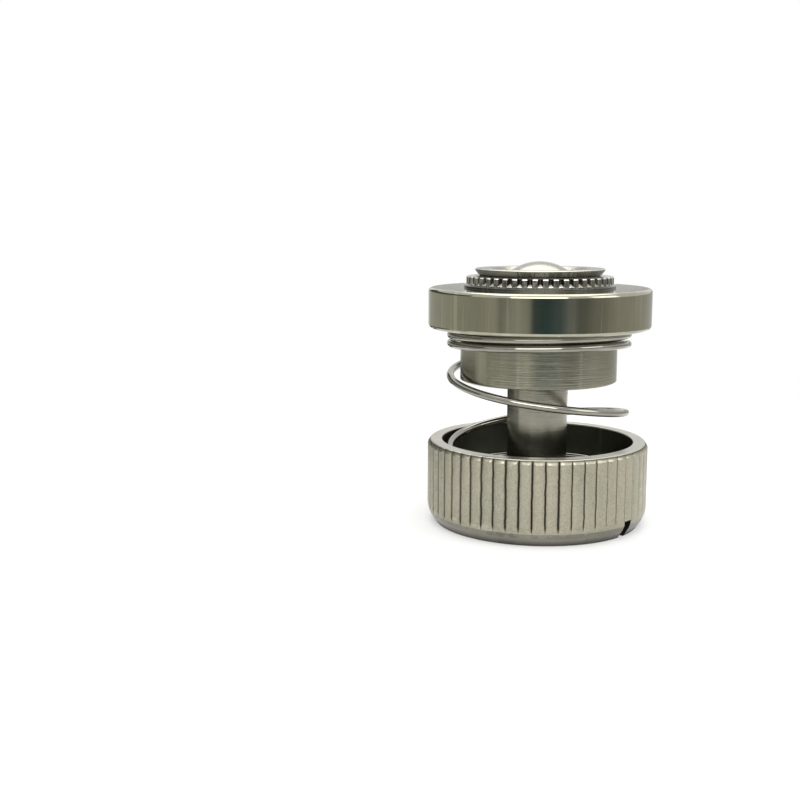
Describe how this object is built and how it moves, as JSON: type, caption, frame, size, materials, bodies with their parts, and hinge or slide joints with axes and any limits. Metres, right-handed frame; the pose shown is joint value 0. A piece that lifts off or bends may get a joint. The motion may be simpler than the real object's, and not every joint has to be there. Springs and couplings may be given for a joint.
{
  "type": "captive panel screw",
  "caption": "Spring-loaded captive panel screw: knurled slotted knob on a screw held in a flanged press-in retainer, with a coil spring between them.",
  "frame": {"origin": "centre of the knob's slotted face, which the part stands on", "axes": "+Z along the screw, from the slotted face to the screw's tip; the slot runs 36.5 degrees clockwise from +X, seen from above"},
  "size_m": [0.0116, 0.0116, 0.0139],
  "materials": {
    "knob": "turned and knurled, warm grey",
    "retainer": "turned and polished, warm grey",
    "screw": "turned, satin",
    "spring": "drawn wire, bright"
  },
  "bodies": {
    "retainer": {"retainer": "retainer"},
    "spring": {"spring": "spring"},
    "screw": {"knob": "knob", "screw": "screw"}
  },
  "joints": [
    {"name": "knob_press", "type": "slide", "parent": "retainer", "child": "spring", "axis": [0, 0, 1], "range_m": [0, 0.0053], "stiffness_N_per_m": 145, "springref_m": -0.004, "deforming": ["spring"]},
    {"name": "knob_turn", "type": "hinge", "parent": "spring", "child": "screw", "pos_m": [0, 0, 0], "axis": [0, 0, 1], "continuous": true}
  ]
}
